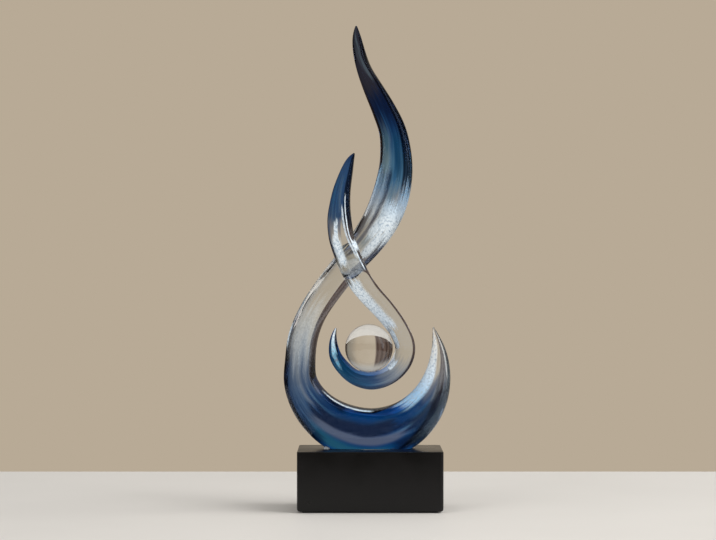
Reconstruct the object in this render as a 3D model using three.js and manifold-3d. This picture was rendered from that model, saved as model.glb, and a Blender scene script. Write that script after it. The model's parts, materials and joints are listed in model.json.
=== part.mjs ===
// Abstract table sculpture: two cast resin strands wind round a crystal ball on a black base block.
// Millimetres, +Z up. The origin is the middle of the underside, and the front faces -Y.
import * as THREE from "three";
import { mergeVertices } from "three/addons/utils/BufferGeometryUtils.js";
import Module from "manifold-3d";

const wasm = await Module();
wasm.setup();

// Base block and the felt under it
const baseWidth = 120;
const baseDepth = 70;
const baseHeight = 50; // from the table to the top face, felt included
const baseCornerRadius = 3;
const baseTopRound = 0.8;
const baseBottomRound = 2.5;
const feltThickness = 1;
const feltInset = 4;

// Adhesive and clearances
const bondThickness = 0.3;
const bondClearance = 0.2; // between an adhesive layer and a curved surface
const footBondBead = 1.2; // squeezed out round the foot
const glueDropWidth = 7;
const glueDropDepth = 8;
const glueDropHeight = 3;
const glueDropForward = 4; // its middle in front of the foot's end

// Crystal ball
const ballDiameter = 40;
const ballAside = 1.7; // its centre from the crescent's centre, along X
const ballRise = 24.4; // and upwards
const ballBondWidth = 16;

// Large strand: a crescent on the base that rises through a neck into the tall flame
const crescentRadius = 70; // of its outer edge
const crescentAside = -2.5; // its centre along X from the middle of the base
const crescentThickness = 44.5; // at its lowest point, before the foot is cut flat
const crescentDepth = 31;
const footCut = 11; // cut off the crescent's lowest point for the flat foot
const footTuck = 1.9; // how far its outline is drawn in low on the neck's side
const footSwell = 0.7; // how far its outline stands out low on the horn's side
const hornSweep = 127; // degrees from the lowest point round to the horn's tip
const hornDepth = 22;
const loopSweep = 102; // degrees from the lowest point round to the start of the neck
const loopThickness = 26;
const loopDepth = 24;
const neckThickness = 24.4;
const neckDepth = 22;
const flameRise = 293.4; // its tip above the crescent's centre
const flameThickness = 31.4;
const flameDepth = 25;

// Small strand: a flame that comes down in front of the neck and hooks under the ball
const shankRise = 162.2; // its tip above the ball's centre
const shankReach = 24.6; // how far it swings to the neck's side of the ball's centre
const shankThickness = 21.8;
const shankDepth = 20;
const hookThickness = 17.2;
const hookDepth = 17;
const saddleDepth = 3; // how far the small strand sits into the neck where they cross
const tipThickness = 1.4;

// Section shapes: 1 is a sharp rhombus and 2 is an ellipse.
const strandFullness = 1.6;
const crescentFullness = 2.3;

// Facets
const largeSides = 24;
const largeRings = 76;
const smallSides = 20;
const smallRings = 58;
const ballSides = 32;
const ballBands = 20;
const crescentSteps = 15;

// Places worked out from the sizes above
const footHeight = baseHeight + bondThickness;
const crescentRise = crescentRadius - footCut; // its centre above the foot
const crescentCentre = new THREE.Vector2(crescentAside, footHeight + crescentRise);
const ballCentre = crescentCentre.clone().add(new THREE.Vector2(ballAside, ballRise));
const ballRadius = ballDiameter / 2;
const crossingSpacing = (neckDepth + shankDepth) / 2 - saddleDepth;
const neckBack = crossingSpacing / 2;
const shankFront = -crossingSpacing / 2;

const radians = THREE.MathUtils.degToRad;

// A strand is skinned over stations. Each has a centre, a thickness across the strand as seen from
// the front, a depth along Y, a roll in degrees that turns its four-sided section, a ridge that
// moves the section's front and back corners across, from -1 to 1, and a fullness.
function stationsFrom(rows, { centre, reach, rise, offset, thickness, depth }) {
  return rows.map(([x, z, y, acrossShare, depthShare, roll, ridge]) => ({
    x: centre.x + x * reach,
    z: centre.y + z * rise,
    y: y * offset,
    thickness: Math.max(acrossShare * thickness, tipThickness),
    depth: Math.max(depthShare * depth, tipThickness),
    roll,
    ridge,
    fullness: strandFullness,
  }));
}

// Each row of these lists holds x, z, y, thickness and depth as shares of the sizes named under
// the list, then roll and ridge.
const flameStations = stationsFrom(
  [
    [-0.129, 1, 0, 0, 0, -40, 0],
    [-0.124, 0.97, 0, 0.23, 0.28, -30, 0],
    [-0.097, 0.928, 0, 0.33, 0.4, 0, 0],
    [-0.034, 0.875, 0, 0.41, 0.52, 30, 0],
    [0.073, 0.821, 0.05, 0.53, 0.66, 52, 0],
    [0.2, 0.761, 0.1, 0.64, 0.78, 66, 0],
    [0.31, 0.696, 0.15, 0.74, 0.9, 68, 0],
    [0.347, 0.619, 0.25, 0.87, 0.98, 64, 0],
    [0.323, 0.557, 0.4, 0.96, 1, 62, 0],
    [0.26, 0.499, 0.65, 1, 1, 62, 0],
    [0.161, 0.445, 0.85, 0.98, 1, 64, 0],
  ],
  {
    centre: crescentCentre,
    reach: crescentRadius,
    rise: flameRise,
    offset: neckBack,
    thickness: flameThickness,
    depth: flameDepth,
  },
);

const neckStations = stationsFrom(
  [
    [0, 0.387, 1, 1.16, 1, 74, 0],
    [-0.22, 0.324, 1, 1.03, 1, 88, 0.25],
    [-0.456, 0.253, 0.85, 1, 1, 90, 0.4],
    [-0.651, 0.182, 0.5, 0.98, 1, 90, 0.5],
    [-0.763, 0.112, 0.2, 1.03, 1.05, 90, 0.53],
  ],
  {
    centre: crescentCentre,
    reach: crescentRadius,
    rise: flameRise,
    offset: neckBack,
    thickness: neckThickness,
    depth: neckDepth,
  },
);

const shankStations = stationsFrom(
  [
    [-0.5, 1, 0.42, 0, 0, 20, 0],
    [-0.63, 0.964, 0.47, 0.3, 0.33, 24, 0],
    [-0.76, 0.903, 0.53, 0.49, 0.53, 28, 0],
    [-0.91, 0.814, 0.63, 0.67, 0.7, 30, 0],
    [-0.98, 0.737, 0.74, 0.8, 0.83, 32, 0],
    [-1, 0.66, 0.84, 0.93, 0.93, 34, 0],
    [-0.94, 0.573, 1, 0.97, 1, 36, 0],
    [-0.78, 0.5, 1, 1, 1, 42, 0],
    [-0.59, 0.425, 1, 0.99, 1, 62, 0.05],
    [-0.32, 0.348, 0.89, 0.93, 0.98, 82, 0.15],
    [0.05, 0.274, 0.63, 0.88, 0.95, 88, 0.2],
    [0.53, 0.194, 0.42, 0.83, 0.9, 90, 0.2],
    [0.95, 0.108, 0.21, 0.78, 0.85, 90, 0.05],
  ],
  {
    centre: ballCentre,
    reach: shankReach,
    rise: shankRise,
    offset: shankFront,
    thickness: shankThickness,
    depth: shankDepth,
  },
);

// The crescent's sections, at an angle in degrees from its lowest point, positive to the horn.
function crescentStation(angle) {
  const towardsHorn = angle > 0;
  const share = Math.abs(angle) / (towardsHorn ? hornSweep : loopSweep);
  const swell = towardsHorn
    ? Math.cos((share * Math.PI) / 2) ** 0.85
    : ((1 + Math.cos(share * Math.PI)) / 2) ** 0.7;
  const endThickness = towardsHorn ? tipThickness : loopThickness;
  const sideDepth = towardsHorn ? hornDepth : loopDepth;
  const taper = towardsHorn ? Math.min(1, 1.6 * swell) : 1;
  const depth = (sideDepth + (crescentDepth - sideDepth) * swell) * taper;
  const thickness = endThickness + (crescentThickness - endThickness) * swell;
  const stray = towardsHorn ? footSwell : footTuck;
  const lean = Math.abs(angle) < 90 ? stray * Math.sin(radians(2 * angle)) : 0;
  const reach = crescentRadius + lean - thickness / 2;
  return {
    x: crescentCentre.x + reach * Math.sin(radians(angle)),
    z: crescentCentre.y - reach * Math.cos(radians(angle)),
    y: 0,
    thickness,
    depth: Math.max(depth, tipThickness),
    roll: 90,
    ridge: towardsHorn ? 0.72 - 0.5 * Math.min(1, 1.4 * share) : 0.72 - 0.18 * share,
    fullness: strandFullness + (crescentFullness - strandFullness) * swell,
  };
}

const crescentStations = [];
for (let step = 0; step <= crescentSteps; step += 1) {
  crescentStations.push(crescentStation(((loopSweep + hornSweep) * step) / crescentSteps - loopSweep));
}

// Each row of the hook holds degrees below the ball's right-hand side, the gap from the ball to the
// hook's inner edge as a share of the ball's radius, thickness and depth as shares of the hook's,
// and the ridge.
const hookStations = [
  [-4, 0.09, 0.98, 1, -0.1],
  [22, 0.04, 1, 1, -0.3],
  [52, 0, 0.93, 1, -0.45],
  [84, -0.035, 0.91, 1, -0.5],
  [114, -0.01, 0.8, 0.91, -0.5],
  [140, 0.035, 0.71, 0.8, -0.45],
  [165, 0.165, 0.62, 0.68, -0.4],
  [185, 0.305, 0.44, 0.5, -0.35],
  [200, 0.45, 0.255, 0.3, -0.3],
  [211, 0.58, 0, 0, -0.2],
].map(([angle, gapShare, acrossShare, depthShare, ridge]) => {
  const thickness = Math.max(acrossShare * hookThickness, tipThickness);
  const reach = ballRadius * (1 + gapShare) + thickness / 2;
  return {
    x: ballCentre.x + reach * Math.cos(radians(angle)),
    z: ballCentre.y - reach * Math.sin(radians(angle)),
    y: 0,
    thickness,
    depth: Math.max(depthShare * hookDepth, tipThickness),
    roll: 90,
    ridge,
    fullness: strandFullness,
  };
});

// One section outline: a rounded rhombus, rolled, with its corners moved across by ridge and then
// fitted to the thickness and depth asked for. Returns points as [across, forward] pairs.
function sectionOutline({ thickness, depth, roll, ridge, fullness }, sides, growth) {
  const outline = [];
  for (let side = 0; side < sides; side += 1) {
    const angle = (2 * Math.PI * side) / sides;
    const cosine = Math.cos(angle);
    const sine = Math.sin(angle);
    const corner = new THREE.Vector2(
      Math.sign(cosine) * Math.abs(cosine) ** (2 / fullness),
      Math.sign(sine) * Math.abs(sine) ** (2 / fullness),
    );
    outline.push(corner.rotateAround(new THREE.Vector2(), -radians(roll)));
  }
  const box = new THREE.Box2().setFromPoints(outline);
  return outline.map(({ x, y }) => {
    const across = x / box.max.x;
    const forward = y / box.max.y;
    const shifted = across + ridge * Math.abs(forward) * (1 - Math.abs(across));
    return [shifted * (thickness / 2 + growth), forward * (depth / 2 + growth)];
  });
}

// A closed skin over a row of rings with equally many points, capped at both ends by a fan.
function skin(rings) {
  const sides = rings[0].length;
  const positions = rings.flat().flatMap((point) => point.toArray());
  const faces = [];
  for (let ring = 0; ring < rings.length - 1; ring += 1) {
    for (let side = 0; side < sides; side += 1) {
      const next = (side + 1) % sides;
      const here = ring * sides;
      const above = here + sides;
      faces.push(here + side, here + next, above + side);
      faces.push(here + next, above + next, above + side);
    }
  }
  for (const isEnd of [false, true]) {
    const ring = isEnd ? rings.at(-1) : rings[0];
    const first = isEnd ? (rings.length - 1) * sides : 0;
    const middle = new THREE.Vector3();
    ring.forEach((point) => middle.addScaledVector(point, 1 / sides));
    const centre = positions.length / 3;
    positions.push(...middle.toArray());
    for (let side = 0; side < sides; side += 1) {
      const next = (side + 1) % sides;
      const edge = isEnd ? [first + side, first + next] : [first + next, first + side];
      faces.push(centre, ...edge);
    }
  }
  const geometry = new THREE.BufferGeometry();
  geometry.setAttribute("position", new THREE.Float32BufferAttribute(positions, 3));
  geometry.setIndex(faces);
  return geometry;
}

// A strand through its stations, swollen all round by growth.
function strand(stations, sides, ringCount, growth) {
  const path = new THREE.CatmullRomCurve3(stations.map(({ x, y, z }) => new THREE.Vector3(x, y, z)));
  path.arcLengthDivisions = 600;
  const channels = {};
  for (const name of ["thickness", "depth", "roll", "ridge", "fullness"]) {
    channels[name] = new THREE.SplineCurve(
      stations.map((station, index) => new THREE.Vector2(index, station[name])),
    );
  }
  const rings = [];
  for (let ring = 0; ring <= ringCount; ring += 1) {
    const t = path.getUtoTmapping(ring / ringCount);
    const section = {};
    for (const [name, channel] of Object.entries(channels)) {
      section[name] = channel.getPoint(t).y;
    }
    const centre = path.getPoint(t);
    const along = path.getTangent(t);
    const acrossAxis = new THREE.Vector3().crossVectors(along, new THREE.Vector3(0, 1, 0)).normalize();
    const frontAxis = new THREE.Vector3().crossVectors(along, acrossAxis);
    rings.push(
      sectionOutline(section, sides, growth).map(([across, forward]) =>
        centre.clone().addScaledVector(acrossAxis, across).addScaledVector(frontAxis, forward),
      ),
    );
  }
  return skin(rings);
}

const largeStations = [...flameStations, ...neckStations, ...crescentStations];
const smallStations = [...shankStations, ...hookStations];
const largeBody = (growth) => strand(largeStations, largeSides, largeRings, growth);
const smallBody = (growth) => strand(smallStations, smallSides, smallRings, growth);

// Joining and cutting
function solidOf(geometry) {
  const bare = new THREE.BufferGeometry();
  bare.setAttribute("position", geometry.getAttribute("position").clone());
  bare.setIndex(geometry.index.clone());
  const merged = mergeVertices(bare, 1e-4);
  return new wasm.Manifold(
    new wasm.Mesh({
      numProp: 3,
      vertProperties: new Float32Array(merged.getAttribute("position").array),
      triVerts: new Uint32Array(merged.index.array),
    }),
  );
}

function geometryOf(solid) {
  const mesh = solid.getMesh();
  const geometry = new THREE.BufferGeometry();
  geometry.setAttribute("position", new THREE.BufferAttribute(mesh.vertProperties, 3));
  geometry.setIndex(new THREE.BufferAttribute(mesh.triVerts, 1));
  return geometry;
}

function ballGeometry(radius) {
  const sphere = new THREE.SphereGeometry(radius, ballSides, ballBands);
  return sphere.rotateX(Math.PI / 2).translate(ballCentre.x, 0, ballCentre.y);
}

// A slab wider and deeper than the object, between two heights
function slab(low, high) {
  const span = 2 * (baseWidth + baseDepth + 2 * crescentRadius);
  return new THREE.BoxGeometry(span, span, high - low).translate(0, 0, (low + high) / 2);
}

// A rounded rectangle round the Z axis, as one ring of points
function roundedRing(width, depth, cornerRadius, height) {
  const cornerSteps = 5;
  const ring = [];
  const corners = [
    [1, 1],
    [-1, 1],
    [-1, -1],
    [1, -1],
  ];
  corners.forEach(([signX, signY], corner) => {
    for (let step = 0; step <= cornerSteps; step += 1) {
      const angle = (Math.PI / 2) * (corner + step / cornerSteps);
      ring.push(
        new THREE.Vector3(
          signX * (width / 2 - cornerRadius) + cornerRadius * Math.cos(angle),
          signY * (depth / 2 - cornerRadius) + cornerRadius * Math.sin(angle),
          height,
        ),
      );
    }
  });
  return ring;
}

// Base block: rounded upright corners, a broad round below and a fine one above
function baseBlock() {
  const leastRadius = 0.3;
  const bottomSteps = 4;
  const topSteps = 3;
  const rings = [];
  const addRing = (inset, height) => {
    const radius = Math.max(baseCornerRadius - inset, leastRadius);
    rings.push(roundedRing(baseWidth - 2 * inset, baseDepth - 2 * inset, radius, height));
  };
  for (let step = 0; step <= bottomSteps; step += 1) {
    const angle = (Math.PI / 2) * (step / bottomSteps);
    const rise = baseBottomRound * (1 - Math.cos(angle));
    addRing(baseBottomRound * (1 - Math.sin(angle)), feltThickness + rise);
  }
  for (let step = 0; step <= topSteps; step += 1) {
    const angle = (Math.PI / 2) * (step / topSteps);
    const drop = baseTopRound * (1 - Math.sin(angle));
    addRing(baseTopRound * (1 - Math.cos(angle)), baseHeight - drop);
  }
  return skin(rings);
}

function feltPad() {
  const width = baseWidth - 2 * feltInset;
  const depth = baseDepth - 2 * feltInset;
  return skin([0, feltThickness].map((height) => roundedRing(width, depth, baseCornerRadius, height)));
}

// Large strand: cut flat at the foot, and saddled where the small strand crosses it
function largeStrand() {
  const saddle = solidOf(smallBody(bondThickness + 2 * bondClearance));
  const below = solidOf(slab(footHeight - crescentRadius, footHeight));
  return geometryOf(solidOf(largeBody(0)).subtract(saddle).subtract(below));
}

// Small strand: a shallow dish in the hook seats the ball
function smallStrand() {
  const dish = solidOf(ballGeometry(ballRadius + bondThickness + 2 * bondClearance));
  return geometryOf(solidOf(smallBody(0)).subtract(dish));
}

// Adhesive between base and foot, with the bead round it and a drop at the end below the neck
function footBond() {
  const layer = solidOf(largeBody(footBondBead)).intersect(solidOf(slab(baseHeight, footHeight)));
  const footRadius = crescentRadius - footTuck;
  const drop = new THREE.SphereGeometry(0.5, 16, 12)
    .scale(glueDropWidth, glueDropDepth, 2 * glueDropHeight)
    .translate(
      crescentCentre.x - Math.sqrt(footRadius ** 2 - crescentRise ** 2),
      -glueDropForward,
      baseHeight,
    );
  const strandRoom = solidOf(largeBody(bondClearance)).intersect(
    solidOf(slab(footHeight, footHeight + crescentRadius)),
  );
  const proud = solidOf(drop)
    .intersect(solidOf(slab(baseHeight, baseHeight + glueDropHeight)))
    .subtract(strandRoom);
  return geometryOf(layer.add(proud));
}

// Adhesive in the saddle between the strands
function crossingBond() {
  const outer = solidOf(smallBody(bondClearance + bondThickness));
  const inner = solidOf(smallBody(bondClearance));
  return geometryOf(outer.subtract(inner).intersect(solidOf(largeBody(0))));
}

// Adhesive between the ball and the dish in the hook
function ballBond() {
  const outer = solidOf(ballGeometry(ballRadius + bondClearance + bondThickness));
  const inner = solidOf(ballGeometry(ballRadius + bondClearance));
  const patch = new THREE.BoxGeometry(ballBondWidth, ballBondWidth, ballDiameter);
  patch.translate(ballCentre.x, 0, ballCentre.y - ballRadius);
  return geometryOf(outer.subtract(inner).intersect(solidOf(patch)).intersect(solidOf(smallBody(0))));
}

// Materials
const blackResin = new THREE.MeshStandardMaterial({ color: 0x141312, roughness: 0.35 });
const blackFelt = new THREE.MeshStandardMaterial({ color: 0x1c1b1b, roughness: 0.95 });
const blueResin = new THREE.MeshStandardMaterial({ color: 0x1d4f86, roughness: 0.08 });
const paleResin = new THREE.MeshStandardMaterial({ color: 0x7fa9c9, roughness: 0.08 });
const crystal = new THREE.MeshStandardMaterial({ color: 0xf1f3f2, roughness: 0.02 });
const clearAdhesive = new THREE.MeshStandardMaterial({ color: 0xe6e2dc, roughness: 0.2 });

const group = new THREE.Group();
function addPiece(name, geometry, material) {
  const mesh = new THREE.Mesh(geometry, material);
  mesh.name = name;
  group.add(mesh);
}

addPiece("felt_pad", feltPad(), blackFelt);
addPiece("base_block", baseBlock(), blackResin);
addPiece("foot_bond", footBond(), clearAdhesive);
addPiece("large_strand", largeStrand(), blueResin);
addPiece("crossing_bond", crossingBond(), clearAdhesive);
addPiece("small_strand", smallStrand(), paleResin);
addPiece("ball_bond", ballBond(), clearAdhesive);
addPiece("crystal_ball", ballGeometry(ballRadius), crystal);

export default group;
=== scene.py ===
"""Looks of the abstract resin sculpture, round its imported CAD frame. Metres, +Z up, the front faces -Y."""

import json
import math

import bpy
import numpy as np
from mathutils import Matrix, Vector

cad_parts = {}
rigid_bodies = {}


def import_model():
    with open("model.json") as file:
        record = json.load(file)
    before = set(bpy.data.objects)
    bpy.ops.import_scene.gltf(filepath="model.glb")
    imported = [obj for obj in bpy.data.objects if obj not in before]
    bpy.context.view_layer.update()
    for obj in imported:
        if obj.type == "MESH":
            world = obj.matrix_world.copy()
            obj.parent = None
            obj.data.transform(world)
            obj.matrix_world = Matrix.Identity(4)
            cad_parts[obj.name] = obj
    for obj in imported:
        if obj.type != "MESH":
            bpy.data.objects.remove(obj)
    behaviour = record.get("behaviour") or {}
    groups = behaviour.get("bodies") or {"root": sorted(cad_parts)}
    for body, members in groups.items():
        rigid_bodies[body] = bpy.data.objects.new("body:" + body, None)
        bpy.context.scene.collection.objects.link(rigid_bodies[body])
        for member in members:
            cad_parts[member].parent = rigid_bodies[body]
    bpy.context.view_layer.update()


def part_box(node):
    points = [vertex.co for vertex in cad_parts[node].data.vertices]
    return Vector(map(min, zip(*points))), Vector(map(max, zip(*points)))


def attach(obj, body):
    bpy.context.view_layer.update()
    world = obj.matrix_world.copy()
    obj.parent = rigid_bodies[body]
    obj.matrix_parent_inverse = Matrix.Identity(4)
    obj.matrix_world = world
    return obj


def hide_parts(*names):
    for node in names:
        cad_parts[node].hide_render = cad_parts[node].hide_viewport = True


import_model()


# Felt pad
# A die-cut pad of thin black wool felt, glued under the block so that it doesn't mark the table.
# Its cut edge is slightly rounded, and its surface is a mat of short fibres.
MM = 0.001
tolerance = 0.001 * MM
felt_low, felt_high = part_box("felt_pad")
felt_corner = 3 * MM
felt_edge_round = 0.25 * MM


def add_box(name, low, high):
    """Adds a cube primitive that fills a box, alone in the selection and in edit mode."""
    bpy.ops.object.select_all(action="DESELECT")
    bpy.ops.mesh.primitive_cube_add(size=1)
    piece = bpy.context.object
    piece.name = name
    bpy.ops.object.mode_set(mode="EDIT")
    bpy.ops.transform.resize(value=high - low)
    bpy.ops.transform.translate(value=(low + high) / 2)
    return piece


def select_edges(piece, wanted):
    """Selects, in edit mode, the edges whose two ends satisfy wanted(start, end)."""
    bpy.ops.mesh.select_all(action="DESELECT")
    bpy.ops.mesh.select_mode(type="EDGE")
    bpy.ops.object.mode_set(mode="OBJECT")
    points = piece.data.vertices
    for edge in piece.data.edges:
        start, end = (points[index].co for index in edge.vertices)
        edge.select = wanted(start, end)
    bpy.ops.object.mode_set(mode="EDIT")


def is_upright(start, end):
    return (start - end).xy.length < tolerance


def lies_at(height):
    """Returns a test of whether an edge lies at a height."""
    return lambda start, end: max(abs(start.z - height), abs(end.z - height)) < tolerance


def make_active(piece):
    """Makes the piece the only selected one, and the active one."""
    bpy.ops.object.select_all(action="DESELECT")
    piece.select_set(True)
    bpy.context.view_layer.objects.active = piece


def finish_mesh(piece, smooth_angle):
    """Leaves edit mode and shades the piece smooth up to an angle in degrees."""
    bpy.ops.object.mode_set(mode="OBJECT")
    make_active(piece)
    bpy.ops.object.shade_smooth_by_angle(angle=math.radians(smooth_angle))


def new_material(name):
    """Returns a node material with its tree and its Principled BSDF."""
    material = bpy.data.materials.new(name)
    material.use_nodes = True
    return material, material.node_tree, material.node_tree.nodes["Principled BSDF"]


def add_node(tree, kind, inputs=None, **settings):
    """Adds a shader node. An input is a value, or the socket that feeds it."""
    made = tree.nodes.new(kind)
    for key, value in settings.items():
        setattr(made, key, value)
    for key, value in (inputs or {}).items():
        if isinstance(value, bpy.types.NodeSocket):
            tree.links.new(value, made.inputs[key])
        else:
            made.inputs[key].default_value = value
    return made


def linear(red, green, blue):
    """Turns a colour written in 0 to 255 display values into the linear RGBA that a node takes."""
    shares = [channel / 255 for channel in (red, green, blue)]
    return (*[s / 12.92 if s <= 0.04045 else ((s + 0.055) / 1.055) ** 2.4 for s in shares], 1.0)


def ramp(tree, factor, stops):
    """Adds a colour ramp with (position, display colour) stops and returns its colour."""
    made = add_node(tree, "ShaderNodeValToRGB", {"Fac": factor})
    elements = made.color_ramp.elements
    while len(elements) < len(stops):
        elements.new(1.0)
    for element, (position, colour) in zip(elements, stops):
        element.position = position
        element.color = linear(*colour)
    return made.outputs["Color"]


def object_point(tree):
    return add_node(tree, "ShaderNodeTexCoord").outputs["Object"]


def calculate(tree, operation, first, second=0.0):
    """Adds a math node and returns its value."""
    return add_node(tree, "ShaderNodeMath", {0: first, 1: second}, operation=operation).outputs["Value"]


def noise(tree, vector, scale, detail):
    """Adds a noise texture and returns its value."""
    inputs = {"Vector": vector, "Scale": scale, "Detail": detail}
    return add_node(tree, "ShaderNodeTexNoise", inputs).outputs["Fac"]


def bump(tree, height, distance):
    """Adds a bump node for a height and returns its normal."""
    inputs = {"Height": height, "Distance": distance, "Strength": 1.0}
    return add_node(tree, "ShaderNodeBump", inputs).outputs["Normal"]


def black_felt():
    material, tree, shader = new_material("black_felt")
    point = object_point(tree)
    fibres = noise(tree, point, scale=1400, detail=4)
    tufts = noise(tree, point, scale=260, detail=2)
    colour = ramp(tree, fibres, [(0.3, (14, 14, 14)), (0.7, (52, 50, 50))])
    tree.links.new(colour, shader.inputs["Base Color"])
    pile = calculate(tree, "ADD", fibres, tufts)
    tree.links.new(bump(tree, pile, distance=0.3 * MM), shader.inputs["Normal"])
    shader.inputs["Roughness"].default_value = 0.95
    shader.inputs["Sheen Weight"].default_value = 0.3
    return material


felt = add_box("felt_pad_cut", felt_low, felt_high)
select_edges(felt, is_upright)
bpy.ops.mesh.bevel(offset=felt_corner, segments=6, affect="EDGES")
select_edges(felt, lies_at(felt_high.z))
bpy.ops.mesh.bevel(offset=felt_edge_round, segments=2, affect="EDGES")
finish_mesh(felt, smooth_angle=40)
felt.data.materials.append(black_felt())
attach(felt, "root")
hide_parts("felt_pad")


# Base block
# A solid block cast in black resin and rubbed to a satin. The mould leaves rounded upright corners,
# a broad round at the bottom and a fine one at the top, which catches the light.
block_low, block_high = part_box("base_block")
block_corner = 3 * MM
block_bottom_round = 2.4 * MM
block_top_round = 0.8 * MM


def black_satin():
    material, tree, shader = new_material("black_satin_resin")
    point = object_point(tree)
    clouds = noise(tree, point, scale=28, detail=5)
    grain = noise(tree, point, scale=900, detail=3)
    colour = ramp(tree, clouds, [(0.35, (5, 5, 5)), (0.65, (12, 11, 12))])
    tree.links.new(colour, shader.inputs["Base Color"])
    rubbed = {"Value": clouds, "From Min": 0.3, "From Max": 0.7, "To Min": 0.26, "To Max": 0.4}
    roughness = add_node(tree, "ShaderNodeMapRange", rubbed).outputs["Result"]
    tree.links.new(roughness, shader.inputs["Roughness"])
    tree.links.new(bump(tree, grain, distance=0.04 * MM), shader.inputs["Normal"])
    shader.inputs["IOR"].default_value = 1.4
    return material


block = add_box("base_block_cast", block_low, block_high)
select_edges(block, is_upright)
bpy.ops.mesh.bevel(offset=block_corner, segments=8, affect="EDGES")
select_edges(block, lies_at(block_low.z))
bpy.ops.mesh.bevel(offset=block_bottom_round, segments=6, affect="EDGES")
select_edges(block, lies_at(block_high.z))
bpy.ops.mesh.bevel(offset=block_top_round, segments=4, affect="EDGES")
finish_mesh(block, smooth_angle=30)
block.data.materials.append(black_satin())
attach(block, "root")
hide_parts("base_block")


# Large strand
# Clear resin cast in one piece: a crescent that is cut flat where it stands on the block, a neck that
# passes behind the small strand, and the tall flame. Polishing took a little off its skin.
foot_height = block_high.z + 0.3 * MM
crescent_radius = 70 * MM
crescent_rise = 59 * MM
crescent_thickness = 44.5 * MM
crescent_depth = 31 * MM
foot_tuck = 1.9 * MM
foot_swell = 0.7 * MM
horn_sweep = 127
horn_depth = 22 * MM
loop_sweep = 102
loop_thickness = 26 * MM
loop_depth = 24 * MM
neck_thickness = 24.4 * MM
neck_depth = 22 * MM
flame_rise = 293.4 * MM
flame_thickness = 31.4 * MM
flame_depth = 25 * MM
neck_back = 9 * MM
tip_thickness = 1.4 * MM
polish = 0.12 * MM
crescent_steps = 15

# The crescent's centre, across and up.
crescent_centre = Vector((-2.5 * MM, foot_height + crescent_rise))

# Fullness shapes a section: 1 is a sharp rhombus and 2 is an ellipse. A ridge says how far the
# section's front and back corners are moved across, from -1 to 1.
strand_fullness = 1.6
crescent_fullness = 2.3
crescent_ridge = 0.72
horn_ridge_loss = 0.5
horn_ridge_fade = 1.4
loop_ridge_loss = 0.18

# The crescent thins from its lowest point to both sides. A power under 1 keeps it full for longer.
horn_swell_power = 0.85
horn_tip_taper = 1.6
loop_swell_power = 0.7

# Each row holds x, z, y, thickness and depth as shares of the sizes above, then the roll of the
# four-sided section in degrees, and the ridge.
flame_rows = [
    (-0.129, 1, 0, 0, 0, -40, 0),
    (-0.124, 0.97, 0, 0.23, 0.28, -30, 0),
    (-0.097, 0.928, 0, 0.33, 0.4, 0, 0),
    (-0.034, 0.875, 0, 0.41, 0.52, 30, 0),
    (0.073, 0.821, 0.05, 0.53, 0.66, 52, 0),
    (0.2, 0.761, 0.1, 0.64, 0.78, 66, 0),
    (0.31, 0.696, 0.15, 0.74, 0.9, 68, 0),
    (0.347, 0.619, 0.25, 0.87, 0.98, 64, 0),
    (0.323, 0.557, 0.4, 0.96, 1, 62, 0),
    (0.26, 0.499, 0.65, 1, 1, 62, 0),
    (0.161, 0.445, 0.85, 0.98, 1, 64, 0),
]
neck_rows = [
    (0, 0.387, 1, 1.16, 1, 74, 0),
    (-0.22, 0.324, 1, 1.03, 1, 88, 0.25),
    (-0.456, 0.253, 0.85, 1, 1, 90, 0.4),
    (-0.651, 0.182, 0.5, 0.98, 1, 90, 0.5),
    (-0.763, 0.112, 0.2, 1.03, 1.05, 90, 0.53),
]


def stations_from(rows, centre, reach, rise, offset, thickness, depth):
    """Turns rows of shares into stations.

    A station holds x, y, z, thickness, depth, roll, ridge, fullness and the squareness of its outer half.
    """
    return [
        (
            centre.x + x * reach,
            y * offset,
            centre.y + z * rise,
            max(across_share * thickness, tip_thickness),
            max(depth_share * depth, tip_thickness),
            roll,
            ridge,
            strand_fullness,
            0,
        )
        for x, z, y, across_share, depth_share, roll, ridge in rows
    ]


def crescent_station(angle):
    """Gives the crescent's station at an angle in degrees from its lowest point, positive to the horn."""
    if angle > 0:
        share = angle / horn_sweep
        swell = max(math.cos(share * math.pi / 2), 0) ** horn_swell_power
        taper = min(1, horn_tip_taper * swell)
        ridge = crescent_ridge - horn_ridge_loss * min(1, horn_ridge_fade * share)
        end_thickness = tip_thickness
        side_depth = horn_depth
        stray = foot_swell
    else:
        share = -angle / loop_sweep
        swell = ((1 + math.cos(share * math.pi)) / 2) ** loop_swell_power
        taper = 1
        ridge = crescent_ridge - loop_ridge_loss * share
        end_thickness = loop_thickness
        side_depth = loop_depth
        stray = foot_tuck
    thickness = end_thickness + (crescent_thickness - end_thickness) * swell
    depth = (side_depth + (crescent_depth - side_depth) * swell) * taper
    lean = stray * math.sin(math.radians(2 * angle)) if abs(angle) < 90 else 0
    reach = crescent_radius + lean - thickness / 2
    return (
        crescent_centre.x + reach * math.sin(math.radians(angle)),
        0,
        crescent_centre.y - reach * math.cos(math.radians(angle)),
        thickness,
        max(depth, tip_thickness),
        90,
        ridge,
        strand_fullness + (crescent_fullness - strand_fullness) * swell,
        0,
    )


def smooth_through(rows, t):
    """Gives a value on the Catmull-Rom spline through rows, at t counted in rows."""
    last = len(rows) - 1
    first = min(int(t), last - 1)
    share = t - first
    before, here, after, beyond = (
        rows[min(max(index, 0), last)] for index in (first - 1, first, first + 1, first + 2)
    )
    slope_here = (after - before) / 2
    slope_after = (beyond - here) / 2
    cube = 2 * here - 2 * after + slope_here + slope_after
    square = -3 * here + 3 * after - 2 * slope_here - slope_after
    return cube * share**3 + square * share**2 + slope_here * share + here


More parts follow.
